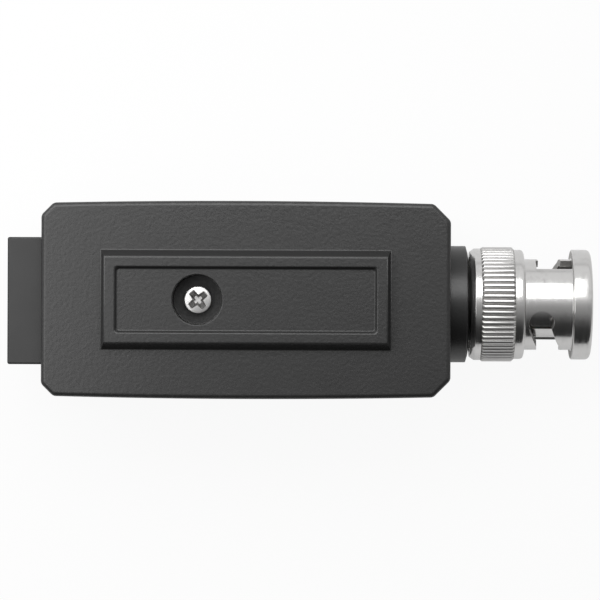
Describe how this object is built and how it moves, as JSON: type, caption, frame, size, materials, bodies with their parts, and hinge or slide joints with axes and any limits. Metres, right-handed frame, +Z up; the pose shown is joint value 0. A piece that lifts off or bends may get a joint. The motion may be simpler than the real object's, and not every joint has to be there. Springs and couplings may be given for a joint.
{
  "type": "cctv video balun",
  "caption": "Passive video balun: moulded case with a modular jack at one end and a bayonet coaxial plug with a turning sprung collar at the other.",
  "frame": {"origin": "bottom centre of the whole part's box, on the case's flat underside", "axes": "+X from the modular jack to the bayonet plug, along the plug's axis; +Z up through the raised panel"},
  "size_m": [0.0734, 0.0248, 0.0203],
  "materials": {
    "case_plastic": "spark-textured moulded ABS",
    "bush_plastic": "satin moulded nylon",
    "jack_plastic": "moulded thermoplastic",
    "nickel_plate": "bright nickel plate over turned brass",
    "screw_steel": "nickel-plated steel",
    "spring_steel": "hardened spring steel",
    "contact_gold": "gold flash over bronze",
    "insulator_plastic": "white moulded insulator",
    "seal_rubber": "soft silicone",
    "board_laminate": "solder-masked laminate",
    "ferrite": "sintered ferrite",
    "winding_copper": "enamelled copper wire",
    "component_plastic": "moulded component body",
    "component_coating": "dipped coating",
    "wire_jacket": "insulated hook-up wire"
  },
  "bodies": {
    "balun": {"upper_shell": "case_plastic", "lower_shell": "case_plastic", "case_screw": "screw_steel", "circuit_board": "board_laminate", "jack_housing": "jack_plastic", "jack_contacts": "contact_gold", "contact_carrier": "jack_plastic", "neck_bush": "bush_plastic", "plug_body": "nickel_plate", "outer_contact": "nickel_plate", "dielectric": "insulator_plastic", "centre_pin": "contact_gold", "front_gasket": "seal_rubber", "rear_nut": "nickel_plate", "ground_lug": "nickel_plate", "wave_spring": "spring_steel", "toroid_core": "ferrite", "toroid_windings": "winding_copper", "surge_diodes": "component_plastic", "termination_resistor": "component_coating", "disc_capacitor": "component_coating", "signal_lead": "wire_jacket", "ground_lead": "wire_jacket"},
    "washer": {"thrust_washer": "spring_steel"},
    "collar": {"bayonet_collar": "nickel_plate", "snap_ring": "spring_steel"}
  },
  "joints": [
    {"name": "collar_spring", "type": "slide", "parent": "balun", "child": "washer", "axis": [1, 0, 0], "range_m": [0, 0.0005], "stiffness_N_per_m": 8000, "springref_m": -0.0005, "deforming": ["wave_spring"]},
    {"name": "collar_turn", "type": "hinge", "parent": "washer", "child": "collar", "pos_m": [0.02445, -0.00042, 0.0095], "axis": [1, 0, 0], "continuous": true}
  ]
}
